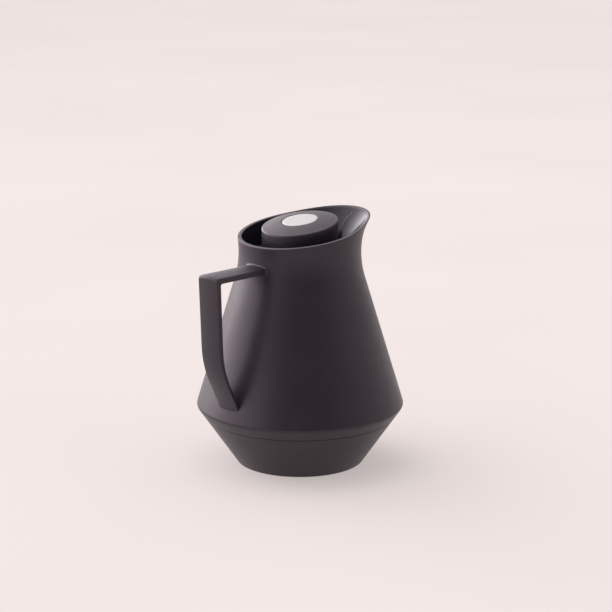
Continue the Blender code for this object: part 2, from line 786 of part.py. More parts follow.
def stopper_seal():
    """Silicone ring with two lips that closes the throat round the plug."""
    inner = PLUG_RADIUS + GAP
    outer = THROAT_RADIUS - GAP
    outline = [(inner, SEAL_BOTTOM), (inner, SEAL_BOTTOM + SEAL_HEIGHT)]
    for low in (SEAL_BOTTOM + SEAL_HEIGHT - SEAL_LIP_HEIGHT, SEAL_BOTTOM):
        outline += [(outer - SEAL_LIP, low + SEAL_LIP_HEIGHT),
                    (outer, low + (SEAL_LIP_HEIGHT + SEAL_LIP_FLAT) / 2.0),
                    (outer, low + (SEAL_LIP_HEIGHT - SEAL_LIP_FLAT) / 2.0),
                    (outer - SEAL_LIP, low)]
    return turned("stopper_seal", outline, SILICONE, sides=SMALL_SIDES)


def stopper_cap():
    """Crowned cap with a slanted top, a skirt over the deck and a tube round the button."""
    crown_edge = CAP_RADIUS - CAP_EDGE
    inner = CAP_RADIUS - CAP_WALL
    tube = BORE_RADIUS + CAP_WALL

    def drop(radius):
        return CAP_CROWN * ((radius - BORE_RADIUS) / (crown_edge - BORE_RADIUS)) ** CROWN_POWER

    def section(angle):
        def top(radius, below):
            return (radius, cap_plane(angle, radius) - below)
        middle = (BORE_RADIUS + crown_edge) / 2.0
        outline = [top(BORE_RADIUS, 0.0), top(middle, drop(middle)), top(crown_edge, CAP_CROWN)]
        for step in range(1, EDGE_STEPS + 1):
            arc = math.pi / 2.0 * step / EDGE_STEPS
            outline.append(top(crown_edge + CAP_EDGE * math.sin(arc),
                               CAP_CROWN + CAP_EDGE * (1.0 - math.cos(arc))))
        outline += [(CAP_RADIUS, DECK_BOTTOM), (inner, DECK_BOTTOM)]
        outline += [top(inner, CAP_CROWN + CAP_EDGE), top(crown_edge - CAP_WALL, CAP_CROWN + CAP_WALL),
                    top(tube, CAP_WALL)]
        low = CAP_TOP - BORE_RADIUS * math.tan(math.radians(CAP_SLANT)) - BUTTON_TUBE
        outline += [(tube, low), (BORE_RADIUS, low)]
        return outline
    return lofted("stopper_cap", section, CHARCOAL)


# ---------------------------------------------------------------- button and valve

SOCKET_RADIUS = STEM_RADIUS + GAP
BOSS_RADIUS = SOCKET_RADIUS + SOCKET_WALL
VALVE_TOP = PLUG_BOTTOM - 2.0 * GAP - VALVE_SEAL_THICKNESS
VALVE_BOSS = VALVE_TOP + SOCKET_DEPTH


def button_disc():
    def section(angle):
        return [(radius, cap_plane(angle, radius) - below) for radius, below in (
            (0.0, 0.0), (BUTTON_RADIUS - GAP, 0.0), (BUTTON_RADIUS, GAP),
            (BUTTON_RADIUS, DISC_THICKNESS), (0.0, DISC_THICKNESS))]
    return lofted("button_disc", section, STEEL, sides=SIDES)


def button_body():
    skirt = BUTTON_ROOF - BUTTON_SKIRT
    under_disc = DISC_THICKNESS + GAP

    def section(angle):
        return [
            (0.0, cap_plane(angle, 0.0) - under_disc),
            (BUTTON_RADIUS, cap_plane(angle, BUTTON_RADIUS) - under_disc),
            (BUTTON_RADIUS, skirt),
            (BUTTON_RADIUS - BUTTON_WALL, skirt),
            (BUTTON_RADIUS - BUTTON_WALL, BUTTON_ROOF),
            (BOSS_RADIUS, BUTTON_ROOF),
            (BOSS_RADIUS, BOSS_BOTTOM),
            (SOCKET_RADIUS, BOSS_BOTTOM),
            (SOCKET_RADIUS, BUTTON_ROOF),
            (0.0, BUTTON_ROOF)]
    return lofted("button_body", section, GREY_PLASTIC, sides=SMALL_SIDES)


def valve_stem():
    return cylinder("valve_stem", STEM_RADIUS, VALVE_TOP + GAP, BUTTON_ROOF - GAP, STEEL, sides=PIN_SIDES)


def valve_plate():
    outline = [
        (0.0, VALVE_TOP),
        (SOCKET_RADIUS, VALVE_TOP),
        (SOCKET_RADIUS, VALVE_BOSS),
        (BOSS_RADIUS, VALVE_BOSS),
        (BOSS_RADIUS, VALVE_TOP),
        (VALVE_RADIUS, VALVE_TOP),
        (VALVE_RADIUS, VALVE_TOP - VALVE_THICKNESS),
        (0.0, VALVE_TOP - VALVE_THICKNESS)]
    return turned("valve_plate", outline, GREY_PLASTIC, sides=SMALL_SIDES)


def valve_seal():
    low = VALVE_TOP + GAP
    high = low + VALVE_SEAL_THICKNESS
    inner = VALVE_RADIUS - VALVE_SEAL_WIDTH
    outline = [(inner, low), (inner, high), (VALVE_RADIUS, high), (VALVE_RADIUS, low)]
    return turned("valve_seal", outline, SILICONE, sides=SMALL_SIDES)


def stem_seal():
    low = GUIDE_TOP - STEM_SEAL_HEIGHT
    outer = STEM_BORE + STEM_SEAL_WIDTH
    outline = [(STEM_BORE, low), (STEM_BORE, GUIDE_TOP), (outer, GUIDE_TOP), (outer, low)]
    return turned("stem_seal", outline, SILICONE, sides=PIN_SIDES)


def button_spring():
    """Coil spring between the deck and the underside of the button."""
    low = DECK_TOP + GAP + SPRING_WIRE
    high = BUTTON_ROOF - GAP - SPRING_WIRE
    per_turn = 12
    count = SPRING_TURNS * per_turn
    curve = bpy.data.curves.new("button_spring", "CURVE")
    curve.dimensions = "3D"
    curve.bevel_depth = SPRING_WIRE
    curve.bevel_resolution = 2
    curve.use_fill_caps = True
    spline = curve.splines.new("POLY")
    spline.points.add(count)
    for index, point in enumerate(spline.points):
        angle = math.tau * index / per_turn
        point.co = (SPRING_RADIUS * math.cos(angle), SPRING_RADIUS * math.sin(angle),
                    low + (high - low) * index / count, 1.0)
    curve.materials.append(STEEL)
    spring = bpy.data.objects.new("button_spring", curve)
    PARTS.objects.link(spring)
    return spring


# ---------------------------------------------------------------- assembly

def axis_empty(name, height, parts, parent=None):
    """Empty on the jug's axis that carries the pieces which move together."""
    empty = bpy.data.objects.new(name, None)
    empty.location = (0.0, 0.0, height)
    empty.empty_display_size = CAP_RADIUS
    PARTS.objects.link(empty)
    bpy.context.view_layer.update()
    for part in parts:
        part.parent = empty
        part.matrix_parent_inverse = empty.matrix_world.inverted()
    if parent:
        empty.parent = parent
        empty.matrix_parent_inverse = parent.matrix_world.inverted()
    return empty


def build():
    body_shell()
    base_cup()
    foot_pad()
    base_cushion()
    pour_funnel()
    flask_outer()
    flask_inner()
    for index in range(SPACER_COUNT):
        flask_spacer(index)
    neck_gasket()
    handle()
    for index, across in enumerate(screw_places()):
        handle_screw(index + 1, across)
    lift = axis_empty("stopper_lift_axis", SEAL_BOTTOM, [stopper_seal()])
    turn = axis_empty("stopper_turn_axis", DECK_TOP,
                      [stopper_plug(), stopper_cap(), stem_seal(), button_spring()], lift)
    axis_empty("button_axis", CAP_TOP,
               [button_disc(), button_body(), valve_stem(), valve_plate(), valve_seal()], turn)


build()
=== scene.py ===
"""Looks of the thermal coffee jug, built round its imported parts.

The jug stands on the floor at the origin, its spout towards +X and its handle towards -X.
Sizes are in metres and angles in radians, apart from every sharp, which is in degrees.
"""

import json
import math

import bmesh
import bpy
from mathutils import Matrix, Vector


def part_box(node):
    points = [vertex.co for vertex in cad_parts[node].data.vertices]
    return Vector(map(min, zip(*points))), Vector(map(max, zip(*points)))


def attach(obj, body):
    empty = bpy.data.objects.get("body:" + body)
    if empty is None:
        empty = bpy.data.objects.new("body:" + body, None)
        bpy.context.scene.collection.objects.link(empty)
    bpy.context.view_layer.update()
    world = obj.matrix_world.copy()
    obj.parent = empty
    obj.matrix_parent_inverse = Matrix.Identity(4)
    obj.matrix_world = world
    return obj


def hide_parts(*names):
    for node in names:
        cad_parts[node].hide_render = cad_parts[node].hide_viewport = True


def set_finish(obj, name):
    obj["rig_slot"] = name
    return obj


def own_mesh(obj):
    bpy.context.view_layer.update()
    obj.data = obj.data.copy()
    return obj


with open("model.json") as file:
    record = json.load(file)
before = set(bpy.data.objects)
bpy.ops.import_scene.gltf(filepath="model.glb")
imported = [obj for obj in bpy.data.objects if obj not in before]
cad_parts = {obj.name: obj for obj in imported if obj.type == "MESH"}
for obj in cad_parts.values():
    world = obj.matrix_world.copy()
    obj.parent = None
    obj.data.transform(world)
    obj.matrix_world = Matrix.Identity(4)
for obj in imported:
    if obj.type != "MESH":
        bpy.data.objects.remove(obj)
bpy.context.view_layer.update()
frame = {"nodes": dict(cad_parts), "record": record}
NODES = frame["nodes"]

# The casing's driving sizes, as the parts have them
BASE_RADIUS = 0.0512
SHOULDER_RADIUS = 0.0839
SHOULDER_HEIGHT = 0.0475
SHOULDER_FILLET = 0.0035
NECK_RADIUS = 0.0489
NECK_HEIGHT = 0.173
NECK_BLEND = 0.074
RIM_HEIGHT = NECK_HEIGHT + 0.017
RIM_SLANT = math.radians(8.4)
RIM_FLARE = 0.0008
SPOUT_LENGTH = 0.0177
SPOUT_SHARPNESS = 9.3
FLARE_POWER = 2.0
CASING_WALL = 0.0022
SEAM_HEIGHT = SHOULDER_HEIGHT - 0.0085
GAP = 0.0003

# How far the visible skins lie inside the parts' own box
TUCK = 0.00001

# Lower casing
CUP_WALL = 0.0026
CUP_WALL_ACROSS = 1.2 * CUP_WALL   # the slanted wall, measured level
SEAM_ROUND = 0.0003
FOOT_ROUND = 0.0006

# Funnel
FUNNEL_WALL = 0.0016
FUNNEL_INSET = CASING_WALL + GAP
THROAT_RADIUS = 0.0250
THROAT_TOP = NECK_HEIGHT - 0.013
THROAT_BOTTOM = THROAT_TOP - 0.013
FUNNEL_RADIUS = NECK_RADIUS - FUNNEL_INSET - FUNNEL_WALL
FUNNEL_FLOOR_RISE = 0.0105
THROAT_ROUND = 0.0010
FLOOR_ROUND = 0.0012

# Walls that get thinner towards the rim, most of all at the spout
RIM_THINNING = 0.18
SPOUT_THINNING = 0.40
THINNING_POWER = 2.0

# The spout's crease: two ridges, and the dimple where they meet
CREASE_HALF_ANGLE = math.radians(2.8)
CREASE_TOP = 0.0040
CREASE_LENGTH = 0.0220
CREASE_FADE = 0.0030
CREASE_HALF_WIDTH = 0.0011
BEAD_HEIGHT = 0.00034
BEAD_RAMP = 0.0016
BEAD_FLANK = 0.00060
DIMPLE_DEPTH = 0.0006
DIMPLE_RADIUS = 0.0007

# The rim's edge
RIM_ROUND = 0.0005
RIM_LIP = 0.0010
LIP_SEAM = 0.0001

# Handle
HANDLE_WIDTH = 0.021
HANDLE_REACH = SHOULDER_RADIUS + 0.0176
GRIP_LEAN = math.radians(1.8)
GRIP_THICKNESS = 0.0046
ARM_TOP = NECK_HEIGHT - 0.0057
ARM_THICKNESS = 0.0046
BEND_HEIGHT = SHOULDER_HEIGHT + 0.048
BEND_RADIUS = 0.077
TAIL_LEAN = math.radians(26.0)
TAIL_THICKNESS = 0.0036
CORNER_OUTER = 0.0026
CORNER_INNER = 0.0018
STRAP_CROWN = 0.0012
STRAP_OUTER_ROUND = 0.0010
STRAP_INNER_ROUND = 0.0004
CROWN_SHARE = 0.72   # the part of the strap's half width that only the crown shapes
ROOT_FILLET = 0.0014
ARM_CROWN_RISE = 0.0008
TAIL_SINK = 0.0045

# Stopper
CAP_RADIUS = 0.0305
CAP_SLANT = math.radians(10.0)
CAP_TOP = RIM_HEIGHT + 0.0078
CAP_CROWN = 0.0026
CROWN_POWER = 1.3
CAP_EDGE = 0.0013
CAP_WALL = 0.0018
BUTTON_RADIUS = 0.0142
BORE_RADIUS = BUTTON_RADIUS + 0.0004
BORE_DEPTH = 0.0110
BORE_LIP = 0.0004
SKIRT_CHAMFER = 0.0003
DISC_THICKNESS = 0.0009
DISC_EDGE = 0.00025
DISC_GAP = 0.0001
SPRING_WIRE = 0.0005
SPRING_TURNS = 5

# Fineness of the meshes
SIDES = 288
ARC_STEPS = 14
BLEND_STEPS = 14
FLARE_STEPS = 28
FUNNEL_STEPS = 56
FUNNEL_START = 3     # the funnel's wall starts this many points up, above its floor's round
CONE_STEPS = 12
RIM_STEPS = 4
CREASE_STEPS = 80
CROWN_STEPS = 6
STRAP_RINGS = 420
CAP_STEPS = 12
LIP_STEPS = 4
DISC_STEPS = 8
COIL_STEPS = 40      # for each turn of the spring
WIRE_SIDES = 10
SOLVE_STEPS = 8
TAIL_STEP = 0.0001   # how finely the place where the tail meets the casing is looked for
MERGE = 0.000002     # points closer than this are made one

# Shine
CHARCOAL_SPECULAR = 0.46
FUNNEL_SPECULAR = 0.20
NOISE_LOW = 0.3      # noise below this gives the low colour, and above NOISE_HIGH the high one
NOISE_HIGH = 0.7

# The tent's glows: the way to the middle of each as (right, away from the camera, up),
# the cosine to it at which it has faded out, and its strength
TOP_GLOW = ((0.0, 0.0, 1.0), 0.0, 0.42)
LEFT_GLOW = ((-1.0, 0.35, 0.25), 0.1, 2.3)
RIGHT_GLOW = ((1.0, 0.5, 0.45), 0.1, 0.62)
BACK_GLOW = ((0.0, 1.0, 0.5), 0.0, 0.11)
BACK_LEFT_GLOW = ((-1.0, 1.0, 0.0), 0.72, 3.3)
ROOM_GLOW = 0.05
TENT_COLOUR = (1.0, 0.935, 0.95, 1.0)

# Key light and floor
KEY_POWER = 21.0
KEY_SIZE = 3.4
KEY_PLACE = (-0.4, 0.5, 2.5)   # right, away from the camera, and up
KEY_TARGET = (0.0, 0.0, 0.10)
FLOOR_GLOW = 0.435
FLOOR_COLOUR = (1.0, 0.905, 0.885, 1.0)
FLOOR_SIZE = 12.0

# Camera
CAMERA_AZIMUTH = math.radians(-46.01)
CAMERA_DISTANCE = 1.4039
CAMERA_HEIGHT = 0.46665
CAMERA_PITCH = math.radians(13.59)
CAMERA_PAN = math.radians(0.197)
CAMERA_LENS = 105.88
CAMERA_SENSOR = 36.0


# ---------------------------------------------------------------- outlines

def rounded(points):
    """Replace each corner (u, v, radius) of an open outline by an arc of that radius."""
    outline = []
    for index, point in enumerate(points):
        if len(point) == 2:
            outline.append(point)
            continue
        u, v, radius = point
        before = points[index - 1]
        after = points[(index + 1) % len(points)]
        into = math.atan2(v - before[1], u - before[0])
        out = math.atan2(after[1] - v, after[0] - u)
        turn = (out - into + math.pi) % math.tau - math.pi
        reach = radius * math.tan(abs(turn) / 2.0)
        side = math.copysign(1.0, turn)
        centre_u = u - reach * math.cos(into) - side * radius * math.sin(into)
        centre_v = v - reach * math.sin(into) + side * radius * math.cos(into)
        for step in range(ARC_STEPS + 1):
            angle = into + turn * step / ARC_STEPS
            outline.append((centre_u + side * radius * math.sin(angle),
                            centre_v - side * radius * math.cos(angle)))
    return outline


def casing_tangent():
    """Height and radius where the straight cone runs into the neck's arc, and the cone's tilt."""
    centre_r = NECK_RADIUS + NECK_BLEND
    across = centre_r - SHOULDER_RADIUS
    up = NECK_HEIGHT - SHOULDER_HEIGHT
    tilt = math.asin(NECK_BLEND / math.hypot(across, up)) - math.atan2(across, up)
    return (NECK_HEIGHT - NECK_BLEND * math.sin(tilt), centre_r - NECK_BLEND * math.cos(tilt), tilt)


BLEND_START, BLEND_START_RADIUS, CONE_TILT = casing_tangent()


def rim_reach(angle):
    """Radius of the rim in plan, drawn out into the spout at angle 0."""
    spout = ((1.0 + math.cos(angle)) / 2.0) ** SPOUT_SHARPNESS
    return NECK_RADIUS + RIM_FLARE + SPOUT_LENGTH * spout


def rim_height(angle, radius):
    """Height of the rim's slanted plane over a place in plan."""
    return RIM_HEIGHT + radius * math.cos(angle) * math.tan(RIM_SLANT)


def lower_radius(height):
    """Outer radius of the casing below the shoulder."""
    return BASE_RADIUS + (SHOULDER_RADIUS - BASE_RADIUS) * height / SHOULDER_HEIGHT


def casing_radius(angle, height):
    """Outer radius of the casing above the shoulder."""
    if height <= BLEND_START:
        return SHOULDER_RADIUS - (height - SHOULDER_HEIGHT) * math.tan(CONE_TILT)
    if height <= NECK_HEIGHT:
        return NECK_RADIUS + NECK_BLEND - math.sqrt(NECK_BLEND ** 2 - (NECK_HEIGHT - height) ** 2)
    top = rim_height(angle, rim_reach(angle))
    flare = ((height - NECK_HEIGHT) / (top - NECK_HEIGHT)) ** FLARE_POWER
    return NECK_RADIUS + (rim_reach(angle) - NECK_RADIUS) * flare


def rim_level(angle, inset):
    """Height at which a surface set in from the casing's outside meets the slanted rim."""
    height = rim_height(angle, rim_reach(angle))
    for _ in range(SOLVE_STEPS):
        height = rim_height(angle, casing_radius(angle, height) - inset)
    return height


def thinness(angle, rise=1.0):
    """Share of the walls' thickness that is left, least at the rim of the spout."""
    share = ((1.0 + math.cos(angle)) / 2.0) ** THINNING_POWER
    return 1.0 - (RIM_THINNING + SPOUT_THINNING * share) * rise


def flare_outline(angle, inset, steps=FLARE_STEPS, below_rim=0.0):
    """Neck to rim, upwards, set in from the casing's outside."""
    top = rim_level(angle, inset * thinness(angle)) - below_rim
    outline = []
    for step in range(steps + 1):
        rise = step / steps
        height = NECK_HEIGHT + (top - NECK_HEIGHT) * rise
        outline.append((casing_radius(angle, height) - inset * thinness(angle, rise), height))
    return outline


def blend_outline(inset):
    """The neck's concave arc, upwards."""
    outline = []
    for step in range(BLEND_STEPS):
        height = BLEND_START + (NECK_HEIGHT - BLEND_START) * step / BLEND_STEPS
        outline.append((casing_radius(0.0, height) - inset, height))
    return outline


# ---------------------------------------------------------------- meshes

def finish_piece(name, work, sharp=40.0):
    """Turn a bmesh into an object, smooth but for edges that turn by more than sharp."""
    bmesh.ops.remove_doubles(work, verts=work.verts, dist=MERGE)
    bmesh.ops.recalc_face_normals(work, faces=work.faces)
    mesh = bpy.data.meshes.new(name)
    work.to_mesh(mesh)
    work.free()
    mesh.shade_smooth()
    mesh.set_sharp_from_angle(angle=math.radians(sharp))
    piece = bpy.data.objects.new(name, mesh)
    bpy.context.scene.collection.objects.link(piece)
    return piece


def sweep(work, rings):
    """Faces between each ring of points and the next, and one over each end."""
    for here, there in zip(rings, rings[1:]):
        for index in range(len(here)):
            after = (index + 1) % len(here)
            work.faces.new((here[index], here[after], there[after], there[index]))
    work.faces.new(rings[0])
    work.faces.new(rings[-1])


def lofted(name, section, angles=None, sharp=40.0):
    """Join a closed outline of (radius, height) that changes with the angle round the axis."""
    if angles is None:
        angles = [math.tau * side / SIDES for side in range(SIDES)]
    work = bmesh.new()
    rings = []
    for angle in angles:
        rings.append([work.verts.new((radius * math.cos(angle), radius * math.sin(angle), height))
                      for radius, height in section(angle)])
    outline = section(0.0)
    for side in range(len(rings)):
        here = rings[side]
        there = rings[(side + 1) % len(rings)]
        for index in range(len(here)):
            after = (index + 1) % len(here)
            if outline[index][0] > 0.0 or outline[after][0] > 0.0:
                work.faces.new((here[index], here[after], there[after], there[index]))
    return finish_piece(name, work, sharp)


# ---------------------------------------------------------------- casing

def shoulder_outline(inset):
    """Seam to the foot of the upper cone, upwards, with the shoulder's edge rounded."""
    outline = rounded([
        (lower_radius(SEAM_HEIGHT) - inset, SEAM_HEIGHT),
        (SHOULDER_RADIUS - inset, SHOULDER_HEIGHT, SHOULDER_FILLET),
        (BLEND_START_RADIUS - inset, BLEND_START)])
    return outline[:-1]


def cone_outline(inset):
    """The straight cone between the shoulder's fillet and the neck's arc, upwards."""
    low = shoulder_outline(inset)[-1][1]
    outline = []
    for step in range(1, CONE_STEPS):
        height = low + (BLEND_START - low) * step / CONE_STEPS
        outline.append((casing_radius(0.0, height) - inset, height))
    return outline


def rounded_rim(angle, outer_inset, inner_inset):
    """A rim's edge from the outer wall over to the inner one, with a small round on each side."""
    edge = []
    for corner, side, start in ((outer_inset, 1.0, 0.0), (inner_inset, -1.0, 90.0)):
        for step in range(RIM_STEPS + 1):
            arc = math.radians(start + 90.0 * step / RIM_STEPS)
            inset = corner + side * RIM_ROUND - RIM_ROUND * math.cos(arc)
            level = rim_level(angle, inset) - RIM_ROUND * (1.0 - math.sin(arc)) - TUCK
            edge.append((casing_radius(angle, level) - inset, level))
    return edge


def body_shell():
    """Upper casing, whose rim has a lip that lies over the funnel's edge."""
    def section(angle):
        lip = (FUNNEL_INSET + FUNNEL_WALL) * thinness(angle)
        wall = CASING_WALL * thinness(angle)
        outer = shoulder_outline(TUCK) + cone_outline(TUCK) + blend_outline(TUCK)
        outer += flare_outline(angle, TUCK, below_rim=RIM_ROUND + TUCK)
        under = [(casing_radius(angle, level) - inset, level)
                 for inset, level in ((lip, rim_level(angle, lip) - RIM_LIP),
                                      (wall, rim_level(angle, wall) - RIM_LIP))]
        inner = shoulder_outline(CASING_WALL) + blend_outline(CASING_WALL)
        inner += flare_outline(angle, CASING_WALL, below_rim=RIM_LIP)[:-1]
        return outer[:-1] + rounded_rim(angle, TUCK, lip) + under + inner[::-1]
    piece = lofted("casing", section)
    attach(piece, "jug")
    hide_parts("body_shell")
    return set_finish(piece, "charcoal_plastic")


def base_cup():
    """Lower cone, with small rounds at the seam and round the foot."""
    low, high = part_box("base_cup")
    _, pad_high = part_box("foot_pad")
    pad_edge = pad_high.x + GAP
    ceiling = pad_high.z + GAP
    floor_top = ceiling + CUP_WALL
    top = SEAM_HEIGHT - GAP
    spigot = lower_radius(SEAM_HEIGHT) - CASING_WALL - GAP
    outside = rounded([
        (spigot, high.z),
        (spigot, top),
        (lower_radius(top), top, SEAM_ROUND),
        (lower_radius(low.z), low.z, FOOT_ROUND),
        (pad_edge, low.z),
        (pad_edge, ceiling)])
    inside = [(0.0, ceiling), (0.0, floor_top), (lower_radius(floor_top) - CUP_WALL_ACROSS, floor_top),
              (spigot - CUP_WALL, top), (spigot - CUP_WALL, high.z)]
    outline = outside + inside

    def section(angle):
        return outline
    piece = lofted("lower_casing", section)
    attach(piece, "jug")
    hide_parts("base_cup")
    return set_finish(piece, "charcoal_plastic")


# ---------------------------------------------------------------- funnel and spout

def bead(across):
    """Height of one fine ridge: a long ramp up from its right and a short flank down to its left."""
    if across <= 0.0:
        return BEAD_HEIGHT * max(0.0, 1.0 + across / BEAD_RAMP)
    return BEAD_HEIGHT * max(0.0, 1.0 - across / BEAD_FLANK)


def crease(angle, radius, below):
    """Depth of the pouring crease: two fine ridges that meet in a dimple near the rim."""
    turn = (angle + math.pi) % math.tau - math.pi
    if abs(turn) > CREASE_HALF_ANGLE:
        return 0.0
    across = turn * radius
    dimple = DIMPLE_DEPTH * math.exp(-(across ** 2 + below ** 2) / DIMPLE_RADIUS ** 2)
    if below <= 0.0:
        return dimple
    half = CREASE_HALF_WIDTH * min(1.0, below / CREASE_LENGTH)
    ridges = max(bead(across - half), bead(across + half))
    return dimple - min(1.0, below / CREASE_FADE) * ridges


def funnel_angles():
    """Sides round the funnel, with more of them across the spout's crease."""
    angles = [CREASE_HALF_ANGLE * (2.0 * step / CREASE_STEPS - 1.0) for step in range(CREASE_STEPS)]
    spare = math.tau - 2.0 * CREASE_HALF_ANGLE
    angles += [CREASE_HALF_ANGLE + spare * step / SIDES for step in range(SIDES)]
    return angles


def pour_funnel():
    """Glossy liner: throat, sloping floor and a wall that follows the casing out into the spout."""
    slope = FUNNEL_FLOOR_RISE / (FUNNEL_RADIUS - THROAT_RADIUS)
    under = FUNNEL_WALL * math.hypot(1.0, slope)
    floor_corner = THROAT_TOP + FUNNEL_FLOOR_RISE

    def section(angle):
        top = RIM_LIP + LIP_SEAM
        wall = flare_outline(angle, FUNNEL_INSET + FUNNEL_WALL, FUNNEL_STEPS, top)
        inner = rounded([
            (THROAT_RADIUS, THROAT_BOTTOM),
            (THROAT_RADIUS, THROAT_TOP, THROAT_ROUND),
            (FUNNEL_RADIUS, floor_corner, FLOOR_ROUND),
            wall[FUNNEL_START]])
        crease_top = wall[-1][1] - CREASE_TOP
        for radius, height in wall[FUNNEL_START + 1:]:
            inner.append((radius + crease(angle, radius, crease_top - height), height))
        throat_outer = THROAT_RADIUS + FUNNEL_WALL
        wall_outer = NECK_RADIUS - FUNNEL_INSET
        outer = [(throat_outer, THROAT_BOTTOM),
                 (throat_outer, THROAT_TOP + (throat_outer - THROAT_RADIUS) * slope - under),
                 (wall_outer, THROAT_TOP + (wall_outer - THROAT_RADIUS) * slope - under)]
        outer += flare_outline(angle, FUNNEL_INSET, below_rim=top)
        return outer + inner[::-1]
    piece = lofted("funnel", section, funnel_angles(), sharp=50.0)
    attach(piece, "jug")
    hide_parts("pour_funnel")
    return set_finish(piece, "gloss_black_plastic")


# ---------------------------------------------------------------- handle

def grip_line(height, inset):
    """The grip's leaning outer face at a height, set in towards the jug."""
    return -HANDLE_REACH + (ARM_TOP - height) * math.tan(GRIP_LEAN) + inset


def tail_point(along, across):
    """Point on the tail: along its length from the bend's corner, across from its outer face."""
    return (grip_line(BEND_HEIGHT, 0.0) + along * math.sin(TAIL_LEAN) + across * math.cos(TAIL_LEAN),
            BEND_HEIGHT - along * math.cos(TAIL_LEAN) + across * math.sin(TAIL_LEAN))


def inner_corner():
    """Where the strap's inner faces above and below the bend would meet."""
    slope = math.tan(GRIP_LEAN)
    spare = GRIP_THICKNESS - TAIL_THICKNESS * (math.cos(TAIL_LEAN) + math.sin(TAIL_LEAN) * slope)
    return tail_point(spare / (math.sin(TAIL_LEAN) - math.cos(TAIL_LEAN) * slope), TAIL_THICKNESS)


def tail_length():
    """Length of the tail, from the bend's corner to where its middle meets the casing."""
    along = 0.0
    while True:
        x, z = tail_point(along, TAIL_THICKNESS / 2.0)
        if -x <= casing_radius(math.pi, z):
            return along
        along += TAIL_STEP


def even_points(line, count):
    """Points at even distances along a line of (x, z)."""
    lengths = [0.0]
    for before, after in zip(line, line[1:]):
        lengths.append(lengths[-1] + math.dist(before, after))
    points = []
    place = 0
    for step in range(count + 1):
        wanted = lengths[-1] * step / count
        while place < len(line) - 2 and lengths[place + 1] < wanted:
            place += 1
        share = (wanted - lengths[place]) / (lengths[place + 1] - lengths[place])
        share = min(1.0, max(0.0, share))
        points.append(tuple(a + (b - a) * share for a, b in zip(line[place], line[place + 1])))
    return points


def strap_section(thick):
    """The strap's cross-section as (across, depth): flat inside, crowned outside, round edges."""
    half = HANDLE_WIDTH / 2.0

    def crown(across):
        return (across, thick - STRAP_CROWN * (across / half) ** 2)
    near = rounded([(0.0, 0.0), (half, 0.0, STRAP_INNER_ROUND),
                    (half, thick - STRAP_CROWN, STRAP_OUTER_ROUND), crown(CROWN_SHARE * half)])
    near += [crown(CROWN_SHARE * half * step / CROWN_STEPS) for step in range(CROWN_STEPS - 1, -1, -1)]
    return near + [(-across, depth) for across, depth in near[-2:0:-1]]


def root_swell(x, y, z):
    """How far the strap swells where the arm runs into the neck, as a fillet."""
    clear = math.hypot(x, y) - casing_radius(math.pi, z)
    if z < BEND_HEIGHT or clear >= ROOT_FILLET:
        return 0.0
    rest = ROOT_FILLET - max(0.0, clear)
    return ROOT_FILLET - math.sqrt(ROOT_FILLET ** 2 - rest ** 2)


def handle():
    """Strap swept from inside the neck, round the arm's corner and the bend, to the casing."""
    arm_under = ARM_TOP - ARM_THICKNESS
    inside = NECK_RADIUS - CASING_WALL / 2.0
    end = tail_length() + TAIL_SINK
    arm_top = ARM_TOP + ARM_CROWN_RISE
    outer = rounded([(-inside, arm_top), (-HANDLE_REACH + TUCK, arm_top, CORNER_OUTER),
                     (*tail_point(0.0, 0.0), BEND_RADIUS), tail_point(end, 0.0)])
    inner = rounded([(-inside, arm_under),
                     (grip_line(arm_under, GRIP_THICKNESS), arm_under, CORNER_INNER),
                     (*inner_corner(), BEND_RADIUS - GRIP_THICKNESS),
                     tail_point(end, TAIL_THICKNESS)])
    outer_line = even_points(outer, STRAP_RINGS)
    inner_line = even_points(inner, STRAP_RINGS)
    work = bmesh.new()
    loops = []
    for (ox, oz), (ix, iz) in zip(outer_line, inner_line):
        thick = math.hypot(ox - ix, oz - iz)
        loop = []
        for across, depth in strap_section(thick):
            swell = root_swell(ix, across, iz)
            across += swell * across / (HANDLE_WIDTH / 2.0)
            depth += swell * (depth / (thick / 2.0) - 1.0)
            loop.append(work.verts.new((ix + (ox - ix) * depth / thick, across,
                                        iz + (oz - iz) * depth / thick)))
        loops.append(loop)
    sweep(work, loops)
    piece = finish_piece("strap_handle", work, sharp=50.0)
    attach(piece, "jug")
    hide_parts("handle")
    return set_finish(piece, "charcoal_plastic")


# ---------------------------------------------------------------- stopper

def cap_plane(angle, radius):
    """Height of the cap's slanted plane, before its crown drops away from it."""
    return CAP_TOP + radius * math.cos(angle) * math.tan(CAP_SLANT)


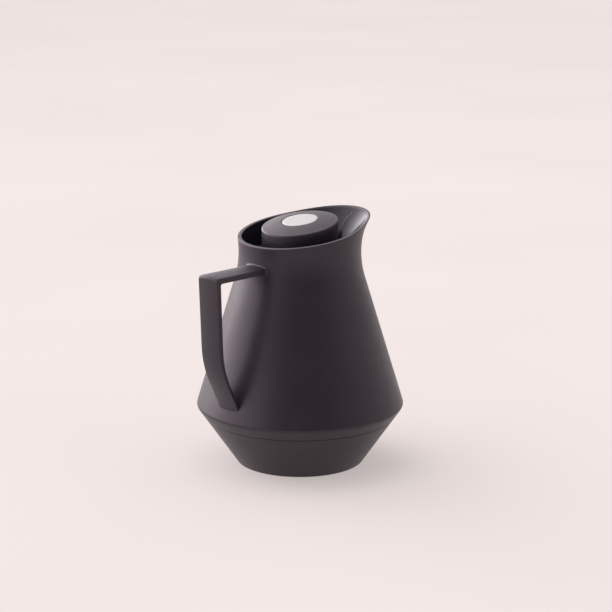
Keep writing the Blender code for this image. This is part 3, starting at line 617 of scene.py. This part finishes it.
def stopper_cap():
    """Crowned cap with a rounded edge, a skirt and a small round at the button's bore."""
    low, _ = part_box("stopper_cap")
    crown_edge = CAP_RADIUS - CAP_EDGE
    inner = CAP_RADIUS - CAP_WALL
    tube = BORE_RADIUS + CAP_WALL

    def drop(radius):
        share = max(0.0, (radius - BORE_RADIUS) / (crown_edge - BORE_RADIUS))
        return CAP_CROWN * share ** CROWN_POWER

    def section(angle):
        def top(radius, below):
            return (radius, cap_plane(angle, radius) - below)
        bore_low = cap_plane(math.pi, BORE_RADIUS) - BORE_DEPTH
        outline = [(BORE_RADIUS, bore_low)]
        for step in range(LIP_STEPS + 1):
            arc = math.pi / 2.0 * step / LIP_STEPS
            radius = BORE_RADIUS + BORE_LIP * (1.0 - math.cos(arc))
            outline.append(top(radius, drop(radius) + BORE_LIP * (1.0 - math.sin(arc))))
        for step in range(1, CAP_STEPS + 1):
            radius = BORE_RADIUS + BORE_LIP + (crown_edge - BORE_RADIUS - BORE_LIP) * step / CAP_STEPS
            outline.append(top(radius, drop(radius)))
        for step in range(1, CAP_STEPS + 1):
            arc = math.pi / 2.0 * step / CAP_STEPS
            outline.append(top(crown_edge + CAP_EDGE * math.sin(arc),
                               CAP_CROWN + CAP_EDGE * (1.0 - math.cos(arc))))
        outline += [(CAP_RADIUS, low.z + SKIRT_CHAMFER), (CAP_RADIUS - SKIRT_CHAMFER, low.z),
                    (inner, low.z)]
        outline += [top(inner, CAP_CROWN + CAP_EDGE), top(crown_edge - CAP_WALL, CAP_CROWN + CAP_WALL),
                    top(tube, CAP_WALL + drop(tube)), (tube, bore_low)]
        return outline
    piece = lofted("cap", section, sharp=35.0)
    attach(piece, "stopper")
    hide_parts("stopper_cap")
    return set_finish(piece, "charcoal_plastic")


def button_disc():
    """Steel disc with a softly rounded edge, in the cap's slanted plane."""
    rim = BUTTON_RADIUS - DISC_GAP

    def section(angle):
        outline = [(0.0, cap_plane(angle, 0.0))]
        for step in range(1, DISC_STEPS + 1):
            radius = (rim - DISC_EDGE) * step / DISC_STEPS
            outline.append((radius, cap_plane(angle, radius)))
        for step in range(1, LIP_STEPS + 1):
            arc = math.pi / 2.0 * step / LIP_STEPS
            radius = rim - DISC_EDGE + DISC_EDGE * math.sin(arc)
            outline.append((radius, cap_plane(angle, radius) - DISC_EDGE * (1.0 - math.cos(arc))))
        outline.append((rim, cap_plane(angle, rim) - DISC_THICKNESS))
        outline.append((0.0, cap_plane(angle, 0.0) - DISC_THICKNESS))
        return outline
    piece = lofted("button_plate", section)
    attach(piece, "button")
    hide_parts("button_disc")
    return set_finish(piece, "brushed_steel")


def coil_spring():
    """Wire helix under the button."""
    low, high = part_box("button_spring")
    coil = (high.x - low.x) / 2.0 - SPRING_WIRE
    length = high.z - low.z - 2.0 * SPRING_WIRE
    steps = SPRING_TURNS * COIL_STEPS
    work = bmesh.new()
    rings = []
    for step in range(steps + 1):
        turn = math.tau * step / COIL_STEPS
        height = low.z + SPRING_WIRE + length * step / steps
        ring = []
        for side in range(WIRE_SIDES):
            around = math.tau * side / WIRE_SIDES
            radius = coil + SPRING_WIRE * math.cos(around)
            ring.append(work.verts.new((radius * math.cos(turn), radius * math.sin(turn),
                                        height + SPRING_WIRE * math.sin(around))))
        rings.append(ring)
    sweep(work, rings)
    piece = finish_piece("coil_spring", work)
    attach(piece, "stopper")
    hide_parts("button_spring")
    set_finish(piece, "steel")
    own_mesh(piece)
    return piece


# ---------------------------------------------------------------- materials

def new_material(name):
    """A new material with its nodes and links."""
    material = bpy.data.materials.new(name)
    material.use_nodes = True
    return material, material.node_tree.nodes, material.node_tree.links


def noise(nodes, links, scale, detail=4.0, stretch=None):
    """Noise in the object's own coordinates, drawn out along an axis where stretch says so."""
    coordinates = nodes.new("ShaderNodeTexCoord")
    texture = nodes.new("ShaderNodeTexNoise")
    texture.inputs["Scale"].default_value = scale
    texture.inputs["Detail"].default_value = detail
    source = coordinates.outputs["Object"]
    if stretch:
        mapping = nodes.new("ShaderNodeMapping")
        mapping.inputs["Scale"].default_value = stretch
        links.new(source, mapping.inputs["Vector"])
        source = mapping.outputs["Vector"]
    links.new(source, texture.inputs["Vector"])
    return texture.outputs["Fac"]


def ramp(nodes, links, value, low, high):
    """Map a noise value to colours or greys between low and high."""
    blend = nodes.new("ShaderNodeValToRGB")
    blend.color_ramp.elements[0].position = NOISE_LOW
    blend.color_ramp.elements[0].color = (*low, 1.0)
    blend.color_ramp.elements[1].position = NOISE_HIGH
    blend.color_ramp.elements[1].color = (*high, 1.0)
    links.new(value, blend.inputs["Fac"])
    return blend.outputs["Color"]


def bump(nodes, links, value, strength, distance):
    """A normal that rises and falls with a noise value."""
    node = nodes.new("ShaderNodeBump")
    node.inputs["Strength"].default_value = strength
    node.inputs["Distance"].default_value = distance
    links.new(value, node.inputs["Height"])
    return node.outputs["Normal"]


def plastic(name, low, high, rough, grain=0.0, grain_depth=0.0, specular=0.5, tint=(1.0,) * 3):
    """Moulded plastic or rubber: slightly uneven colour and gloss, over a fine grain if it has one."""
    material, nodes, links = new_material(name)
    shader = nodes["Principled BSDF"]
    shader.inputs["Specular IOR Level"].default_value = specular
    shader.inputs["Specular Tint"].default_value = (*tint, 1.0)
    cloud = noise(nodes, links, scale=38.0, detail=3.0)
    links.new(ramp(nodes, links, cloud, low, high), shader.inputs["Base Color"])
    gloss = noise(nodes, links, scale=120.0)
    links.new(ramp(nodes, links, gloss, (rough[0],) * 3, (rough[1],) * 3), shader.inputs["Roughness"])
    if grain:
        fine = noise(nodes, links, scale=grain, detail=2.0)
        links.new(bump(nodes, links, fine, strength=0.25, distance=grain_depth),
                  shader.inputs["Normal"])
    return material


def brushed_steel():
    """Steel with fine straight brush lines, for the button's disc."""
    material, nodes, links = new_material("brushed_steel")
    shader = nodes["Principled BSDF"]
    shader.inputs["Metallic"].default_value = 1.0
    lines = noise(nodes, links, scale=900.0, detail=3.0, stretch=(1.0, 0.04, 1.0))
    links.new(ramp(nodes, links, lines, (0.46, 0.465, 0.46), (0.52, 0.525, 0.52)),
              shader.inputs["Base Color"])
    links.new(ramp(nodes, links, lines, (0.30,) * 3, (0.40,) * 3), shader.inputs["Roughness"])
    links.new(bump(nodes, links, lines, strength=0.12, distance=0.00002), shader.inputs["Normal"])
    return material


def bright_steel():
    """Smooth steel, for the spring, the stem and the screws."""
    material, nodes, links = new_material("steel")
    shader = nodes["Principled BSDF"]
    shader.inputs["Metallic"].default_value = 1.0
    marks = noise(nodes, links, scale=500.0)
    links.new(ramp(nodes, links, marks, (0.62, 0.62, 0.61), (0.72, 0.72, 0.71)),
              shader.inputs["Base Color"])
    links.new(ramp(nodes, links, marks, (0.16,) * 3, (0.26,) * 3), shader.inputs["Roughness"])
    return material


def silvered_glass():
    """The flask's mirrored glass, slightly rippled."""
    material, nodes, links = new_material("silvered_glass")
    shader = nodes["Principled BSDF"]
    shader.inputs["Metallic"].default_value = 0.9
    shader.inputs["Coat Weight"].default_value = 1.0
    shader.inputs["Coat Roughness"].default_value = 0.02
    ripple = noise(nodes, links, scale=55.0, detail=2.0)
    links.new(ramp(nodes, links, ripple, (0.72, 0.75, 0.77), (0.82, 0.85, 0.86)),
              shader.inputs["Base Color"])
    links.new(ramp(nodes, links, ripple, (0.05,) * 3, (0.10,) * 3), shader.inputs["Roughness"])
    links.new(bump(nodes, links, ripple, strength=0.10, distance=0.0003), shader.inputs["Normal"])
    return material


def silicone():
    """Pale translucent rubber, for the seals."""
    material, nodes, links = new_material("silicone")
    shader = nodes["Principled BSDF"]
    shader.inputs["Subsurface Weight"].default_value = 0.15
    shader.inputs["Subsurface Scale"].default_value = 0.001
    cloud = noise(nodes, links, scale=160.0)
    links.new(ramp(nodes, links, cloud, (0.50, 0.50, 0.48), (0.60, 0.60, 0.58)),
              shader.inputs["Base Color"])
    links.new(ramp(nodes, links, cloud, (0.48,) * 3, (0.62,) * 3), shader.inputs["Roughness"])
    return material


def build_materials():
    """One material for each of the record's slots."""
    return {
        "charcoal_plastic": plastic(
            "charcoal_plastic", low=(0.0184, 0.0148, 0.0208), high=(0.0210, 0.0168, 0.0236),
            rough=(0.38, 0.44), grain=2600.0, grain_depth=0.00003, specular=CHARCOAL_SPECULAR,
            tint=(1.0, 0.89, 0.97)),
        "gloss_black_plastic": plastic(
            "gloss_black_plastic", low=(0.0150, 0.0138, 0.0200), high=(0.0175, 0.0160, 0.0230),
            rough=(0.12, 0.17), specular=FUNNEL_SPECULAR, tint=(0.95, 0.90, 1.0)),
        "grey_plastic": plastic(
            "grey_plastic", low=(0.16, 0.16, 0.17), high=(0.20, 0.20, 0.21),
            rough=(0.40, 0.50), grain=1800.0, grain_depth=0.00003),
        "black_rubber": plastic(
            "black_rubber", low=(0.016, 0.016, 0.016), high=(0.026, 0.026, 0.026),
            rough=(0.65, 0.80), grain=1400.0, grain_depth=0.00006),
        "brushed_steel": brushed_steel(),
        "steel": bright_steel(),
        "silvered_glass": silvered_glass(),
        "silicone": silicone(),
    }


def paint(piece, material):
    """Give a piece this one material."""
    piece.data.materials.clear()
    piece.data.materials.append(material)


def paint_node(node, material):
    """Put a material in a part's own slots."""
    for place in node.material_slots:
        place.material = material


# ---------------------------------------------------------------- stage

def camera_axes():
    """Directions to the right of the camera and away from it, level with the floor."""
    away = Vector((-math.sin(CAMERA_AZIMUTH), math.cos(CAMERA_AZIMUTH), 0.0))
    right = Vector((math.cos(CAMERA_AZIMUTH), math.sin(CAMERA_AZIMUTH), 0.0))
    return right, away


def set_view():
    """Show the light as it is, with no film curve over it."""
    bpy.context.scene.view_settings.view_transform = "Standard"


def add_camera():
    """Camera between the handle's side of the jug and its -Y side, looking a little down."""
    right, away = camera_axes()
    data = bpy.data.cameras.new("camera")
    data.lens = CAMERA_LENS
    data.sensor_width = CAMERA_SENSOR
    data.clip_start = 0.05
    data.clip_end = 50.0
    camera = bpy.data.objects.new("camera", data)
    camera.location = -away * CAMERA_DISTANCE + Vector((0.0, 0.0, CAMERA_HEIGHT))
    look = away * math.cos(CAMERA_PAN) + right * math.sin(CAMERA_PAN)
    look = look * math.cos(CAMERA_PITCH) - Vector((0.0, 0.0, math.sin(CAMERA_PITCH)))
    camera.rotation_euler = look.to_track_quat("-Z", "Y").to_euler()
    bpy.context.scene.collection.objects.link(camera)
    bpy.context.scene.camera = camera


def add_floor():
    """Wide pale sheet, flat all round the jug and lit from below, which keeps the shadow faint."""
    work = bmesh.new()
    bmesh.ops.create_grid(work, x_segments=8, y_segments=8, size=FLOOR_SIZE)
    mesh = bpy.data.meshes.new("floor")
    work.to_mesh(mesh)
    work.free()
    floor = bpy.data.objects.new("floor", mesh)
    bpy.context.scene.collection.objects.link(floor)
    material, nodes, links = new_material("pale_floor")
    shader = nodes["Principled BSDF"]
    shader.inputs["Roughness"].default_value = 0.85
    shader.inputs["Specular IOR Level"].default_value = 0.0
    shader.inputs["Emission Color"].default_value = FLOOR_COLOUR
    shader.inputs["Emission Strength"].default_value = FLOOR_GLOW
    tint = noise(nodes, links, scale=2.0, detail=2.0)
    links.new(ramp(nodes, links, tint, (0.31, 0.29, 0.284), (0.33, 0.31, 0.304)),
              shader.inputs["Base Color"])
    paint(floor, material)


def add_world():
    """Light tent: a dim room with broad soft glows, darkest on the camera's side."""
    right, away = camera_axes()
    world = bpy.data.worlds.new("light_tent")
    world.use_nodes = True
    nodes, links = world.node_tree.nodes, world.node_tree.links
    direction = nodes.new("ShaderNodeTexCoord").outputs["Generated"]

    def glow(towards, edge, strength):
        """Light that grows from nothing at its edge to its full strength in the middle."""
        across, back, up = towards
        middle = right * across + away * back + Vector((0.0, 0.0, up))
        dot = nodes.new("ShaderNodeVectorMath")
        dot.operation = "DOT_PRODUCT"
        dot.inputs[1].default_value = middle.normalized()
        links.new(direction, dot.inputs[0])
        spread = nodes.new("ShaderNodeMapRange")
        spread.interpolation_type = "SMOOTHSTEP"
        spread.inputs["From Min"].default_value = edge
        spread.inputs["From Max"].default_value = 1.0
        spread.inputs["To Max"].default_value = strength
        links.new(dot.outputs["Value"], spread.inputs["Value"])
        return spread.outputs["Result"]

    def plus(first, second):
        """Add to a strength another one, or a number."""
        add = nodes.new("ShaderNodeMath")
        add.operation = "ADD"
        links.new(first, add.inputs[0])
        if isinstance(second, float):
            add.inputs[1].default_value = second
        else:
            links.new(second, add.inputs[1])
        return add.outputs["Value"]

    light = ROOM_GLOW
    for one in (TOP_GLOW, LEFT_GLOW, RIGHT_GLOW, BACK_GLOW, BACK_LEFT_GLOW):
        light = plus(glow(*one), light)
    background = nodes["Background"]
    background.inputs["Color"].default_value = TENT_COLOUR
    links.new(light, background.inputs["Strength"])
    bpy.context.scene.world = world


def add_key():
    """Broad soft light from above, which gives the jug its faint shadow."""
    right, away = camera_axes()
    data = bpy.data.lights.new("soft_key", "AREA")
    data.shape = "SQUARE"
    data.size = KEY_SIZE
    data.energy = KEY_POWER
    key = bpy.data.objects.new("soft_key", data)
    key.location = right * KEY_PLACE[0] + away * KEY_PLACE[1] + Vector((0.0, 0.0, KEY_PLACE[2]))
    key.rotation_euler = (Vector(KEY_TARGET) - key.location).to_track_quat("-Z", "Y").to_euler()
    key.visible_glossy = False
    bpy.context.scene.collection.objects.link(key)


# ---------------------------------------------------------------- build

MATERIALS = build_materials()
for built in (body_shell(), base_cup(), pour_funnel(), handle(), stopper_cap(), button_disc(),
              coil_spring()):
    paint(built, MATERIALS[built["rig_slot"]])
for subpart in frame["record"]["subparts"]:
    paint_node(NODES[subpart["node"]], MATERIALS[subpart["material_slot"]])

add_floor()
add_world()
add_key()
add_camera()
set_view()
